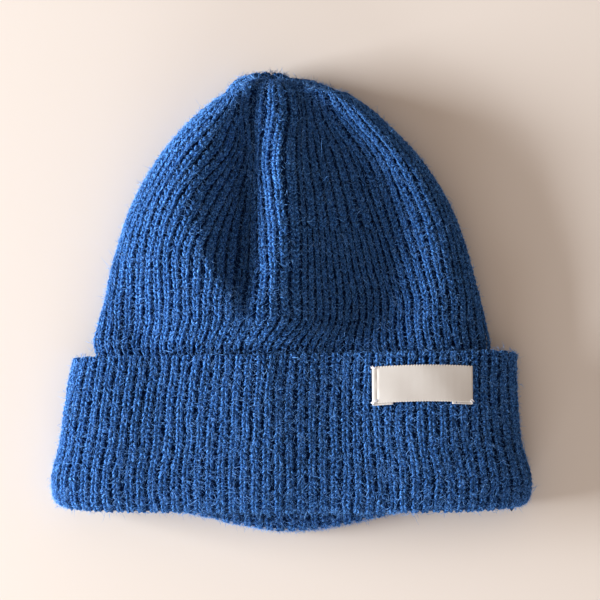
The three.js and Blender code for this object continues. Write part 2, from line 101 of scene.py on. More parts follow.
# The cuff's sections from its fold to its edge: up is a share of CUFF_DEPTH, the rest as above for the cuff.
CUFF_COLUMNS = ("up", "left", "right", "crest_x", "crest_z", "valley_x", "valley_z",
                "ridge_x", "ridge_z", "hollow_x", "hollow_z", "puff_x", "puff_z")
CUFF_ROWS = (
    (0.00, 0.985, 0.985, -0.70, 0.90, -0.58, 0.90, -0.10, 0.99, 0.20, 0.92, 0.42, 0.90),
    (0.14, 1.000, 1.000, -0.70, 0.91, -0.58, 0.91, -0.10, 1.00, 0.20, 0.93, 0.42, 0.91),
    (0.45, 0.965, 0.957, -0.69, 0.89, -0.57, 0.89, -0.10, 1.00, 0.26, 0.90, 0.43, 0.91),
    (0.70, 0.943, 0.942, -0.67, 0.87, -0.56, 0.87, -0.12, 1.00, 0.26, 0.87, 0.44, 0.90),
    (1.00, 0.910, 0.940, -0.64, 0.86, -0.54, 0.86, -0.14, 0.99, 0.26, 0.86, 0.44, 0.89),
)

# The dent low on the crown's left, as shares of the sizes above.
LOW_DENT = {"along": 0.430, "across": -0.76, "reach_along": 0.09, "reach_across": 0.12, "depth": 0.15}

# The gather: rings of the shoulder's section drawn together to a point. Size is each ring's share of it,
# ahead how far it lies past it and tilt how far it leans back, as shares of GATHER_LENGTH. The step is
# where its right part sinks lower than its left one.
GATHER_LENGTH = 7 * MM
GATHER_ACROSS = -0.09
GATHER_LOBES = 11
GATHER_STEP = {"from": -5 * MM, "reach": 6 * MM, "depth": 2.4 * MM}
GATHER_COLUMNS = ("turn", "size", "ahead", "tilt", "lobes")
GATHER_ROWS = (
    (0.0, 1.00, 0.00, 0.00, 0.00),
    (1.0, 0.86, 0.36, 0.10, 0.04),
    (2.0, 0.66, 0.72, 0.30, 0.09),
    (3.0, 0.44, 0.86, 0.45, 0.14),
    (4.0, 0.22, 0.66, 0.40, 0.18),
    (5.0, 0.00, 0.25, 0.30, 0.18),
)

# Where some furrows of the crown's front run, counted in ribs from its left side. Each row gives along, and
# then x at each of these furrows as a share of half the CROWN_WIDTH.
LED_FURROWS = (2.5, 5.5, 8.5, 11.5, 14.5, 17.5, 20.5, 34.5, 37.5, 40.5)
FURROW_ROWS = (
    (0.482, -0.894, -0.737, -0.592, -0.446, -0.284, -0.118, 0.053, 0.561, 0.697, 0.833),
    (0.596, -0.853, -0.722, -0.592, -0.425, -0.264, -0.123, 0.053, 0.486, 0.627, 0.793),
    (0.710, -0.758, -0.647, -0.486, -0.315, -0.234, -0.146, 0.043, 0.405, 0.546, 0.717),
    (0.825, -0.612, -0.486, -0.289, -0.229, -0.204, -0.159, 0.028, 0.305, 0.425, 0.561),
    (0.904, -0.446, -0.330, -0.254, -0.239, -0.219, -0.138, 0.043, 0.184, 0.274, 0.405),
    (0.957, -0.310, -0.270, -0.240, -0.225, -0.205, -0.130, 0.030, 0.150, 0.200, 0.270),
)
LED_FROM = 0.355
LED_FULLY = 0.450

# How the front falls into its valley and rises from it to the ridge: above 1 keeps the first part gentle.
VALLEY_FALL = 1.4
RIDGE_RISE = 1.5
RIDGE_FALL = 0.8

# How finely the knit is laid out before its stitches are placed.
POINTS_PER_RIB = 4
POINTS_PER_ROW = 2
STATION = 1.0 * MM
ARC_STEPS = 24
FRONT_STEPS = 90

# Towards the top two, four or eight ribs run into one, so that none gets narrower than this.
NARROWEST = 2.3 * MM
MOST_MERGED = 8
LAST_STITCHES = 0.10

Section = namedtuple("Section", "left right bottom side fullness folds")


def smooth(value):
    """A smooth step from 0 to 1."""
    value = np.clip(value, 0.0, 1.0)
    return value * value * (3.0 - 2.0 * value)


def curve_through(places, values, place):
    """The height at one place of a smooth curve through a few points."""
    slopes = np.gradient(values, places)
    index = int(np.clip(np.searchsorted(places, place) - 1, 0, len(places) - 2))
    span = places[index + 1] - places[index]
    share = min(max((place - places[index]) / span, 0.0), 1.0)
    rest = 1.0 - share
    ends = values[index] * rest * rest * (1 + 2 * share) + values[index + 1] * share * share * (3 - 2 * share)
    return ends + span * share * rest * (slopes[index] * rest - slopes[index + 1] * share)


def row_at(columns, rows, place):
    """One row of a table at any place between its rows, by the names of its columns."""
    table = np.array(rows)
    return {name: curve_through(table[:, 0], table[:, index], place) for index, name in enumerate(columns)}


def section_from(row, half_width, height, bottom, shape):
    """A lying section: its two sides, its underside and the folds of its front."""
    folds = np.array([(row[name + "_x"] * half_width, row[name + "_z"] * height) for name in FOLDS])
    side = bottom + (folds[0, 1] - bottom) * shape["side_level"]
    return Section(-row["left"] * half_width, row["right"] * half_width, bottom, side, shape["fullness"], folds)


def cuff_section(up):
    """A section of the cuff's outer face at a height above its fold."""
    row = row_at(CUFF_COLUMNS, CUFF_ROWS, up / CUFF_DEPTH)
    return section_from(row, CUFF_WIDTH / 2, CUFF_HEIGHT, 0.0, CUFF_SHAPE)


def crown_section(along):
    """A section of the crown at a place along the hat."""
    row = row_at(CROWN_COLUMNS, CROWN_ROWS, along / HAT_LENGTH)
    bottom = row["lift"] * CROWN_HEIGHT if along > CUFF_DEPTH else WALL + LAYER_GAP
    return section_from(row, CROWN_WIDTH / 2, CROWN_HEIGHT, bottom, CROWN_SHAPE)


def quarter(side_x, side_z, crest_x, crest_z, fullness):
    """A quarter of a full ellipse from a side point to a crest."""
    angle = np.linspace(0.0, math.pi / 2, ARC_STEPS + 1)
    across = np.cos(angle).clip(0.0) ** (2 / fullness)
    up = np.sin(angle) ** (2 / fullness)
    return np.column_stack((crest_x + (side_x - crest_x) * across, side_z + (crest_z - side_z) * up))


def front_line(section):
    """The front of a section, from its left side over the folds to its right side."""
    folds = section.folds
    rise = quarter(section.left, section.side, folds[0, 0], folds[0, 1], section.fullness)
    fall = quarter(section.right, section.side, folds[-1, 0], folds[-1, 1], section.fullness)
    x = np.linspace(folds[0, 0], folds[-1, 0], FRONT_STEPS + 1)[1:-1]
    index = np.clip(np.searchsorted(folds[:, 0], x), 1, len(folds) - 1)
    share = (x - folds[index - 1, 0]) / (folds[index, 0] - folds[index - 1, 0])
    to_valley, to_ridge, to_hollow = (index == FOLDS.index(name) for name in ("valley", "ridge", "hollow"))
    power = np.select((to_valley, to_hollow), (VALLEY_FALL, RIDGE_FALL), 1.0)
    eased = smooth(share ** power)
    eased = np.where(to_ridge, 1 - (1 - share) ** RIDGE_RISE, eased)
    z = folds[index - 1, 1] + (folds[index, 1] - folds[index - 1, 1]) * eased
    return np.vstack((rise, np.column_stack((x, z)), fall[::-1]))


def back_line(section):
    """The back of a section, from its right side underneath to its left side, pressed flat where it rests."""
    middle = (section.left + section.right) / 2
    under = section.bottom - PRESSED
    fall = quarter(section.right, section.side, middle, under, BACK_FULLNESS)
    rise = quarter(section.left, section.side, middle, under, BACK_FULLNESS)
    line = np.vstack((fall, rise[::-1]))
    line[:, 1] = np.maximum(line[:, 1], section.bottom)
    return line


def spaced(line, furrows=None, share=0.0):
    """Points along one half of a section: evenly, or by a share of the way towards the given furrows."""
    steps = np.linalg.norm(np.diff(line, axis=0), axis=1)
    lengths = np.concatenate(([0.0], np.cumsum(steps)))
    ribs = np.arange(HALF_RIBS * POINTS_PER_RIB) / POINTS_PER_RIB
    target = ribs / HALF_RIBS * lengths[-1]
    if furrows is not None:
        places = np.concatenate(([0.0], np.interp(furrows, line[:, 0], lengths), lengths[-1:]))
        led = np.interp(ribs, np.concatenate(([0.0], LED_FURROWS, [HALF_RIBS])), places)
        target = target + (led - target) * share
    return np.column_stack([np.interp(target, lengths, line[:, axis]) for axis in (0, 1)])


def section_points(section, inset, furrows=None, share=0.0):
    """The points round a section from its left side over the front, moved inwards by an inset."""
    points = np.vstack((spaced(front_line(section), furrows, share), spaced(back_line(section))))
    step = np.roll(points, -1, axis=0) - np.roll(points, 1, axis=0)
    inward = np.column_stack((step[:, 1], -step[:, 0]))
    inward /= np.linalg.norm(inward, axis=1)[:, None]
    return points + inward * inset


# The cuff's inner face at its edge, from the left side over the front to the right side.
CUFF_MOUTH = section_points(cuff_section(CUFF_DEPTH), WALL + LAYER_GAP)[:HALF_RIBS * POINTS_PER_RIB + 1]
CUFF_MOUTH = CUFF_MOUTH[np.argsort(CUFF_MOUTH[:, 0])]


def under_cuff(points, inset, along):
    """The front of a ring of the crown kept under the cuff's inner face as far as the cuff's edge."""
    half = len(points) // 2
    ceiling = np.interp(points[:half, 0], CUFF_MOUTH[:, 0], CUFF_MOUTH[:, 1]) + max(along - CUFF_DEPTH, 0.0)
    points[:half, 1] = np.minimum(points[:half, 1], ceiling - inset)
    return points


def ring_in_space(points, outline, up):
    """A ring of the cuff's height. The back's fold sags out, and both folds rise into the outline's corners."""
    across = np.abs(outline[:, 0])
    is_back = np.arange(len(points)) >= len(points) // 2
    drop = np.where(is_back, BACK_DROP * (1 - np.minimum(across / BACK_DROP_REACH, 1.0) ** 2) ** 2, 0.0)
    corner = CORNER_RISE * (across / (CUFF_WIDTH / 2)) ** 8
    fade = (1 - min(up / CUFF_DEPTH, 1.0)) ** 2
    return np.column_stack((points[:, 0], FOLD_Y + up + (corner - drop) * fade, points[:, 1]))


def cuff_ring(inset, up):
    """A ring of the cuff, moved in by an inset. Its edge climbs to the right and has rounded corners."""
    section = cuff_section(up)
    outline = section_points(section, 0.0)
    ring = ring_in_space(section_points(section, inset), outline, up)
    to_side = np.abs(outline[:, 0]) / np.abs(outline[:, 0]).max()
    ring[:, 1] -= EDGE_CORNER * to_side ** 20 * (up / CUFF_DEPTH) ** 8
    ring[:, 1] += EDGE_TILT * (up / CUFF_DEPTH) ** 2 * (0.5 + ring[:, 0] / CUFF_WIDTH)
    return ring


def tucked_ring(inset, up):
    """A ring of the crown inside the cuff, which turns from the cuff's inner face into the crown's section."""
    lining = section_points(cuff_section(up), WALL + LAYER_GAP + inset)
    own = under_cuff(section_points(crown_section(CUFF_DEPTH), inset), inset, CUFF_DEPTH)
    share = smooth((up - LEG) / (CUFF_DEPTH - LEG))
    points = lining + (own - lining) * share
    return ring_in_space(points, points, up)


def crown_ring(inset, along):
    """A ring of the crown past the cuff, with the low dent at its left."""
    section = crown_section(along)
    place = along / HAT_LENGTH
    furrows = np.array(list(row_at(("along",) + LED_FURROWS, FURROW_ROWS, place).values())[1:])
    share = float(smooth((place - LED_FROM) / (LED_FULLY - LED_FROM)))
    points = under_cuff(section_points(section, inset, furrows * CROWN_WIDTH / 2, share), inset, along)
    x, z = points.T
    across = (x / (CROWN_WIDTH / 2) - LOW_DENT["across"]) / LOW_DENT["reach_across"]
    up = (along / HAT_LENGTH - LOW_DENT["along"]) / LOW_DENT["reach_along"]
    is_front = np.arange(len(points)) < len(points) // 2
    share = np.where(is_front, smooth((z - section.side) / section.side), 0.0)
    dent = LOW_DENT["depth"] * CROWN_HEIGHT * np.exp(-across * across - up * up) * share
    return np.column_stack((x, np.full(len(x), FOLD_Y + along), z - dent))


def gather_ring(shoulder, turn, is_inner):
    """A ring of the shoulder drawn together towards the gather's tip."""
    row = row_at(GATHER_COLUMNS, GATHER_ROWS, turn)
    middle = shoulder.mean(axis=0)
    middle[0] = GATHER_ACROSS * CROWN_WIDTH / 2
    angle = np.arange(len(shoulder)) / len(shoulder) * GATHER_LOBES * 2 * math.pi
    lobes = 0.0 if is_inner else row["lobes"]
    ahead = row["ahead"] * GATHER_LENGTH * (0.4 if is_inner else 1.0)
    lean = 0.0 if is_inner else row["tilt"] * GATHER_LENGTH
    size = row["size"] * (1 + lobes * np.cos(angle))
    ring = middle + (shoulder - middle) * size[:, None]
    ring[:, 1] += ahead - lean * (shoulder[:, 2] - middle[2]) / (CROWN_HEIGHT / 2) * min(row["size"] * 4, 1.0)
    sunk = smooth((ring[:, 0] - GATHER_STEP["from"]) / GATHER_STEP["reach"]) * min(turn, 1.0)
    ring[:, 1] -= GATHER_STEP["depth"] * sunk
    return ring


# The places of the crown's rings: inside the cuff, past its edge, and round the gather.
TUCKED_PLACES = np.arange(LEG + SEAM_GAP, CUFF_DEPTH, 2 * STATION)
OPEN_PLACES = np.arange(CUFF_DEPTH + STATION, SHOULDER, STATION)
GATHER_TURNS = np.linspace(0.0, GATHER_ROWS[-1][0], 21)[1:]


def crown_rings(inset):
    """The crown's rings from its lower edge to the gather's tip."""
    rings = [tucked_ring(inset, up) for up in TUCKED_PLACES]
    rings += [crown_ring(inset, along) for along in OPEN_PLACES]
    shoulder = crown_ring(inset, SHOULDER)
    rings.append(shoulder)
    rings += [gather_ring(shoulder, turn, inset > 0) for turn in GATHER_TURNS]
    return np.array(rings)


def cuff_rings():
    """The cuff's rings from its edge down the outer face, round the fold and up the inner leg."""
    edge = [(0.9 * MM, CUFF_DEPTH), (0.25 * MM, CUFF_DEPTH - 0.4 * MM)]
    outer = [(0.0, up) for up in np.arange(CUFF_DEPTH - 1.2 * MM, FOLD_RADIUS, -STATION)]
    angles = np.linspace(0.0, math.pi, 17)
    fold = [(FOLD_RADIUS * (1 - math.cos(a)), FOLD_RADIUS * (1 - math.sin(a))) for a in angles]
    leg = [(2 * FOLD_RADIUS, up) for up in np.arange(FOLD_RADIUS + STATION, LEG, STATION)]
    return np.array([cuff_ring(inset, up) for inset, up in edge + outer + fold + leg])


def soft_noise(rows, columns, reach_rows, reach_columns):
    """Smooth chance values of about -1 to 1 over a grid that closes round the hat."""
    values = chance.normal(0.0, 1.0, (rows, columns))
    for axis, reach in enumerate((reach_rows, reach_columns)):
        for _ in range(2 * reach * reach):
            values = (np.roll(values, 1, axis) + 2 * values + np.roll(values, -1, axis)) / 4
    return values[..., None] / values.std()


class Fabric:
    """A knitted surface as a grid: its columns count ribs round the hat, its rows count stitches."""

    def __init__(self, rings, facing):
        steps = np.linalg.norm(np.diff(rings, axis=0), axis=2).mean(axis=1)
        self.path = np.concatenate(([0.0], np.cumsum(steps))) / ROW_PITCH
        self.rows = self.path[-1]
        self.points = self.resample(rings)
        across = np.roll(self.points, -1, axis=1) - np.roll(self.points, 1, axis=1)
        along = np.gradient(self.points, axis=0)
        self.pitch = np.linalg.norm(across, axis=2, keepdims=True) * POINTS_PER_RIB / 2
        normals = np.cross(across, along) * facing
        length = np.linalg.norm(normals, axis=2, keepdims=True)
        self.normals = normals / np.maximum(length, 1e-12)
        self.drift = soft_noise(*self.points.shape[:2], 4, 2)
        self.swell = soft_noise(*self.points.shape[:2], 5, 2)

    def resample(self, values):
        """Values given for each ring, at even rows."""
        places = np.arange(int(self.rows * POINTS_PER_ROW) + 1) / POINTS_PER_ROW
        index = np.clip(np.searchsorted(self.path, places, side="right") - 1, 0, len(self.path) - 2)
        share = (places - self.path[index]) / (self.path[index + 1] - self.path[index])
        share = share.reshape((-1,) + (1,) * (values.ndim - 1))
        return values[index] * (1 - share) + values[index + 1] * share

    def look_up(self, grid, columns, rows):
        """The value of a grid at any column and row."""
        x = np.mod(columns, RIBS) * POINTS_PER_RIB
        y = np.clip(rows, 0.0, (len(grid) - 1) / POINTS_PER_ROW) * POINTS_PER_ROW
        left = np.floor(x).astype(int)
        low = np.minimum(np.floor(y).astype(int), len(grid) - 2)
        share_x = (x - left)[..., None]
        share_y = (y - low)[..., None]
        left = left % grid.shape[1]
        right = (left + 1) % grid.shape[1]
        below = grid[low, left] * (1 - share_x) + grid[low, right] * share_x
        above = grid[low + 1, left] * (1 - share_x) + grid[low + 1, right] * share_x
        return below * (1 - share_y) + above * share_y

    def place(self, columns, rows, height):
        """Points at a height over the surface."""
        lift = np.asarray(height)[..., None] * self.look_up(self.normals, columns, rows)
        return self.look_up(self.points, columns, rows) + lift


def strand_shape(sides, rings):
    """A closed strand of unit size: each corner's ring and angle, and its faces with their u and v."""
    shape = bmesh.new()
    bmesh.ops.create_uvsphere(shape, u_segments=sides, v_segments=rings + 1, radius=1.0)
    corners = np.array([vertex.co for vertex in shape.verts])
    ring = np.rint(np.arccos(np.clip(-corners[:, 2], -1, 1)) / math.pi * (rings + 1)).astype(int)
    angle = np.mod(np.arctan2(corners[:, 1], corners[:, 0]), 2 * math.pi)
    faces = [[vertex.index for vertex in face.verts] for face in shape.faces]
    shape.free()
    maps = []
    for face in faces:
        turns = angle[face] / (2 * math.pi)
        is_tip = (ring[face] == 0) | (ring[face] == rings + 1)
        spread = turns[~is_tip]
        wraps = spread.max() - spread.min() > 0.5
        turns = np.where(wraps & (turns < 0.5), turns + 1, turns)
        turns = np.where(is_tip, turns[~is_tip].mean(), turns)
        maps.append(np.column_stack((turns, ring[face] / (rings + 1))))
    return {"ring": ring, "angle": angle, "faces": faces, "maps": np.vstack(maps)}


def fill_mesh(name, corners, faces, maps, tones):
    """A joined mesh from arrays: the same faces and maps repeated for every strand."""
    count, size = corners.shape[:2]
    mesh = bpy.data.meshes.new(name)
    sizes = np.array([len(face) for face in faces])
    indices = np.concatenate([np.array(face) for face in faces])
    mesh.vertices.add(count * size)
    mesh.vertices.foreach_set("co", corners.astype(np.float32).ravel())
    mesh.loops.add(count * len(indices))
    starts = np.arange(count)[:, None]
    mesh.loops.foreach_set("vertex_index", (starts * size + indices).astype(np.int32).ravel())
    mesh.polygons.add(count * len(sizes))
    first = np.concatenate(([0], np.cumsum(sizes)[:-1]))
    mesh.polygons.foreach_set("loop_start", (starts * len(indices) + first).astype(np.int32).ravel())
    mesh.polygons.foreach_set("use_smooth", np.ones(count * len(sizes), dtype=bool))
    for layer_name, values in maps.items():
        layer = mesh.uv_layers.new(name=layer_name)
        layer.uv.foreach_set("vector", values.astype(np.float32).ravel())
    tone = mesh.attributes.new("tone", "FLOAT", "POINT")
    tone.data.foreach_set("value", np.repeat(tones, size).astype(np.float32))
    mesh.update()
    mesh.validate()
    return mesh


def atlas(count, maps):
    """A cell of the bake's map for each strand."""
    cells = math.ceil(math.sqrt(count))
    margin = 0.08
    index = np.arange(count)
    origin = np.column_stack((index % cells, index // cells))[:, None, :]
    inner = np.column_stack((maps[:, 0] / 1.3, maps[:, 1]))
    return (origin + margin + inner[None] * (1 - 2 * margin)) / cells


def strand_piece(name, shape, centres, ups, half_widths, half_heights, tones, length):
    """A piece of many strands, each a centre line with an up direction and a width and height at each ring."""
    along = np.gradient(centres, axis=1)
    along /= np.maximum(np.linalg.norm(along, axis=2, keepdims=True), 1e-12)
    side = np.cross(ups, along)
    side /= np.maximum(np.linalg.norm(side, axis=2, keepdims=True), 1e-12)
    up = np.cross(along, side)
    ring = shape["ring"]
    wide = (half_widths[:, ring] * np.cos(shape["angle"]))[..., None]
    high = (half_heights[:, ring] * np.sin(shape["angle"]))[..., None]
    corners = centres[:, ring] + side[:, ring] * wide + up[:, ring] * high
    offset = chance.random((len(centres), 1, 2)) * np.array((20.0, 90.0))
    yarn = shape["maps"][None] * np.array((1.0, length / MM)) + offset
    maps = {"OFBake": atlas(len(centres), shape["maps"]), "yarn": yarn}
    mesh = fill_mesh(name, corners, shape["faces"], maps, tones)
    piece = bpy.data.objects.new(name, mesh)
    bpy.context.scene.collection.objects.link(piece)
    return piece


# One stitch is a V of two plump legs. Across is counted in ribs from the rib's middle, up in rows.
LEG_START_ACROSS = 0.03
LEG_END_ACROSS = 0.33
LEG_START_UP = -0.35
LEG_RISE = 1.55
LEG_HALF_WIDTH = 0.172
LEG_HALF_HEIGHT = 0.68 * MM
LEG_PEAK = 0.62
LEG_CREST = -0.42 * MM
LEG_START_DEPTH = -1.10 * MM
LEG_END_DEPTH = -0.90 * MM
FULL_PITCH = 4.2 * MM
LEG_LENGTH = LEG_RISE * ROW_PITCH
PRESSED_STITCH = 0.3 * MM

# How far a rib drifts sideways, in ribs, and how far it swells and sinks.
DRIFT = 0.055
SWELL = 0.10 * MM


def stitch_legs(name, fabric, columns, rows, widths, sides, rings):
    """The legs of the stitches at the given columns and rows, each rib as wide as its number of columns."""
    shape = strand_shape(sides, rings)
    hand = np.tile((-1.0, 1.0), len(columns))
    columns, rows, widths = (np.repeat(values, 2) for values in (columns, rows, widths))
    count = len(columns)
    wobble = chance.normal(0.0, 1.0, (7, count, 1))
    share = np.linspace(0.0, 1.0, rings + 2)[None]
    across = LEG_START_ACROSS + (LEG_END_ACROSS - LEG_START_ACROSS) * share ** 1.2 + 0.018 * wobble[0]
    place = columns[:, None] + hand[:, None] * across * widths[:, None] + 0.015 * wobble[1]
    up = rows[:, None] + LEG_START_UP + LEG_RISE * share + 0.08 * wobble[2]
    place = place + DRIFT * fabric.look_up(fabric.drift, place, up)[..., 0]
    swell = SWELL * fabric.look_up(fabric.swell, place, up)[..., 0]
    ends = np.where(share < LEG_PEAK, LEG_START_DEPTH, LEG_END_DEPTH)
    away = np.where(share < LEG_PEAK, 1 - share / LEG_PEAK, (share - LEG_PEAK) / (1 - LEG_PEAK))
    height = LEG_CREST + (ends - LEG_CREST) * away ** 1.8 + swell + 0.07 * MM * wobble[3]
    pitch = fabric.look_up(fabric.pitch, columns[:, None], rows[:, None])[..., 0] * widths[:, None]
    scale = np.clip(pitch / FULL_PITCH, 0.3, 1.15) ** 0.7
    normals = fabric.look_up(fabric.normals, place, up)
    pressed = PRESSED_STITCH * np.clip(-normals[..., 2:].mean(axis=1) * 2 - 1, 0.0, 1.0)
    centres = fabric.place(place, up, height * scale - pressed)
    round_off = np.sin(math.pi * share) ** 0.45
    half_widths = LEG_HALF_WIDTH * pitch * (1 + 0.09 * wobble[4]) * round_off
    half_heights = LEG_HALF_HEIGHT * scale * (1 + 0.08 * wobble[5]) * round_off
    tones = np.clip(0.5 + 0.2 * wobble[6, :, 0], 0.0, 1.0)
    return strand_piece(name, shape, centres, normals, half_widths, half_heights, tones, LEG_LENGTH)


# Loose hairs: most are short and lie over the knit, a few are long and stray.
HAIR_RADIUS = 0.052 * MM
HAIR_LENGTH = 2.0 * MM
HALO_LENGTH = 2.9 * MM
STRAY_RADIUS = 0.045 * MM
STRAY_LENGTH = 3.4 * MM

# How far hairs thin out where the ribs get narrow: 1 keeps them even over the area, 0 even over the ribs.
HAIRS_BY_PITCH = 0.7


def hairs(name, fabric, column, row, radius, length, lift_mean, bending, rings):
    """Fine hairs that leave the knit at the given columns and rows in chance directions."""
    shape = strand_shape(3, rings)
    count = len(column)
    normal = fabric.look_up(fabric.normals, column, row)
    base = fabric.place(column, row, chance.uniform(-0.55, 0.15, count) * MM)
    spin = chance.normal(0.0, 1.0, (count, 3))
    flat = spin - normal * np.sum(spin * normal, axis=1, keepdims=True)
    flat /= np.linalg.norm(flat, axis=1, keepdims=True)
    lift = np.abs(chance.normal(lift_mean, 0.28, count))[:, None]
    lengths = length * chance.lognormal(-0.1, 0.35, count)[:, None]
    bend = chance.normal(0.0, bending, (count, 3))
    heading = flat * np.cos(lift) + normal * np.sin(lift)
    share = np.linspace(0.0, 1.0, rings + 2)[None, :, None]
    curl = (bend - 0.9 * np.sin(lift) * normal)[:, None, :] * share * share
    centres = base[:, None, :] + (heading[:, None, :] * share + 0.5 * curl) * lengths[:, None, :]
    centres[..., 2] = np.maximum(centres[..., 2], 0.1 * MM)
    ups = np.repeat(normal[:, None, :] + 0.01, rings + 2, axis=1)
    thickness = radius * chance.lognormal(0.0, 0.35, (count, 1)) * np.sin(math.pi * share[:, :, 0]) ** 0.5
    tones = chance.random(count)
    return strand_piece(name, shape, centres, ups, thickness, thickness, tones, length)


def add_sheet(shape, layer, points, map_from, map_to):
    """A grid of points added as one sheet, with its own part of the bake's map."""
    rows, columns = points.shape[:2]
    made = bmesh.ops.create_grid(shape, x_segments=columns - 1, y_segments=rows - 1, size=0.5, calc_uvs=True)
    faces = {face for vertex in made["verts"] for face in vertex.link_faces}
    for face in faces:
        for loop in face.loops:
            place = loop.vert.co
            loop[layer].uv = (place.x + 0.5, map_from + (map_to - map_from) * (place.y + 0.5))
    for vertex in made["verts"]:
        column = round((vertex.co.x + 0.5) * (columns - 1))
        row = round((vertex.co.y + 0.5) * (rows - 1))
        vertex.co = points[row, column]


def closed_piece(name, sheets):
    """A closed wall from sheets whose edges meet: doubles merged, faces turned outwards."""
    shape = bmesh.new()
    layer = shape.loops.layers.uv.new("OFBake")
    for index, points in enumerate(sheets):
        joined = np.concatenate((points, points[:, :1]), axis=1)
        add_sheet(shape, layer, joined, index / len(sheets), (index + 1) / len(sheets))
    bmesh.ops.remove_doubles(shape, verts=shape.verts, dist=0.002 * MM)
    bmesh.ops.recalc_face_normals(shape, faces=shape.faces)
    mesh = bpy.data.meshes.new(name)
    shape.to_mesh(mesh)
    shape.free()
    mesh.polygons.foreach_set("use_smooth", np.ones(len(mesh.polygons), dtype=bool))
    piece = bpy.data.objects.new(name, mesh)
    bpy.context.scene.collection.objects.link(piece)
    return piece


# The thin ribbed wall under the stitches: how far it lies below a rib's crest and below a furrow.
WALL_UNDER_CREST = 1.35 * MM
WALL_UNDER_FURROW = 1.25 * MM
INNER_RIB = 0.95 * MM
WALL_COLUMNS = 2

# Where the cuff folds the wall fills its furrows, by a share of their depth and over a number of rows.
FOLD_FILL = 0.6
FOLD_FILL_ROWS = 3.5


def rib_wave(count):
    """From 0 at the middle of a rib to 1 at a furrow, round the hat."""
    columns = np.arange(count) / (count / RIBS)
    return 0.5 - 0.5 * np.cos(2 * math.pi * columns)


def make_crown_wall(fabric, inner):
    """The crown's wall: its outer face under the stitches and its ribbed inner face, closed at both ends."""
    step = POINTS_PER_RIB // WALL_COLUMNS
    wave = rib_wave(fabric.points.shape[1])[None, :, None]
    fade = np.clip((fabric.rows - np.arange(len(fabric.points)) / POINTS_PER_ROW) / 6, 0.0, 1.0)
    fade = fade[:, None, None]
    depth = WALL_UNDER_CREST + (WALL_UNDER_FURROW - WALL_UNDER_CREST) * wave
    outer = fabric.points - fabric.normals * depth * fade
    outer[-1] = outer[-1].mean(axis=0)
    lining = inner.points + inner.normals * INNER_RIB * (1 - wave)
    lining[-1] = lining[-1].mean(axis=0)
    outer = outer[::POINTS_PER_ROW] if len(outer) % POINTS_PER_ROW == 1 else outer[1::POINTS_PER_ROW]
    lining = lining[::2 * POINTS_PER_ROW]
    lining = np.concatenate((outer[:1], lining, inner.points[-1:].mean(axis=1, keepdims=True)
                             .repeat(lining.shape[1], axis=1)))
    return closed_piece("crown_knit", [outer[:, ::step], lining[:, ::step]])


def make_cuff_wall(fabric):
    """The cuff's wall: a closed profile from its edge round the fold to the leg, and back inside."""
    step = POINTS_PER_RIB // WALL_COLUMNS
    wave = rib_wave(fabric.points.shape[1])[None, :, None]
    points = fabric.points[::POINTS_PER_ROW]
    normals = fabric.normals[::POINTS_PER_ROW]
    from_fold = (np.arange(len(points)) - CUFF_DEPTH / ROW_PITCH)[:, None, None] / FOLD_FILL_ROWS
    fill = 1 - FOLD_FILL * np.exp(-from_fold * from_fold)
    outer = points - normals * (WALL_UNDER_CREST + (WALL_UNDER_FURROW - WALL_UNDER_CREST) * wave) * fill
    inner = points - normals * (WALL - 0.05 * MM - INNER_RIB * (1 - wave))
    profile = np.concatenate((outer, inner[::-1], outer[:1]))
    return closed_piece("cuff_knit", [profile[:, ::step]])


crown_fabric = Fabric(crown_rings(0.0), 1.0)
crown_inside = Fabric(crown_rings(WALL), 1.0)
cuff_fabric = Fabric(cuff_rings(), -1.0)


def merged_ribs(start, width, pitch):
    """The ribs of one row from a start: a group splits while its halves are wide enough."""
    half = width // 2
    if width == 1 or pitch[start:start + width].mean() * half < NARROWEST:
        return [(start + (width - 1) / 2, width)]
    return merged_ribs(start, half, pitch) + merged_ribs(start + half, half, pitch)


def crown_stitch_places():
    """Columns, rows and widths of the crown's stitches, with fewer and wider ribs towards the top."""
    sizes = np.array([row_at(GATHER_COLUMNS, GATHER_ROWS, turn)["size"] for turn in GATHER_TURNS])
    before_gather = len(TUCKED_PLACES) + len(OPEN_PLACES) + 1
    first_row = math.ceil(crown_fabric.path[len(TUCKED_PLACES)] - 3)
    last_row = int(crown_fabric.path[before_gather + np.count_nonzero(sizes > LAST_STITCHES) - 1])
    places = []
    for row in range(first_row, last_row + 1):
        pitch = crown_fabric.look_up(crown_fabric.pitch, np.arange(float(RIBS)), np.full(RIBS, float(row)))[:, 0]
        for start in range(0, RIBS, MOST_MERGED):
            places += [(column, row, width) for column, width in merged_ribs(start, MOST_MERGED, pitch)]
    return np.array(places).T


def is_front(columns):
    """Whether a rib lies on the front, the sides included."""
    return (columns < HALF_RIBS + 1.5) | (columns > RIBS - 2.5)


def make_crown_stitches():
    """The crown's stitches in three pieces: the front's two halves and the back."""
    columns, rows, widths = crown_stitch_places()
    front = is_front(columns)
    left = front & ((columns < HALF_RIBS / 2) | (columns > HALF_RIBS + 2))
    parts = {"crown_front_left_stitches": left, "crown_front_right_stitches": front & ~left,
             "crown_back_stitches": ~front}
    pieces = []
    for name, chosen in parts.items():
        sides, rings = (4, 2) if name == "crown_back_stitches" else (6, 3)
        pieces.append(stitch_legs(name, crown_fabric, columns[chosen], rows[chosen], widths[chosen], sides, rings))
    return pieces


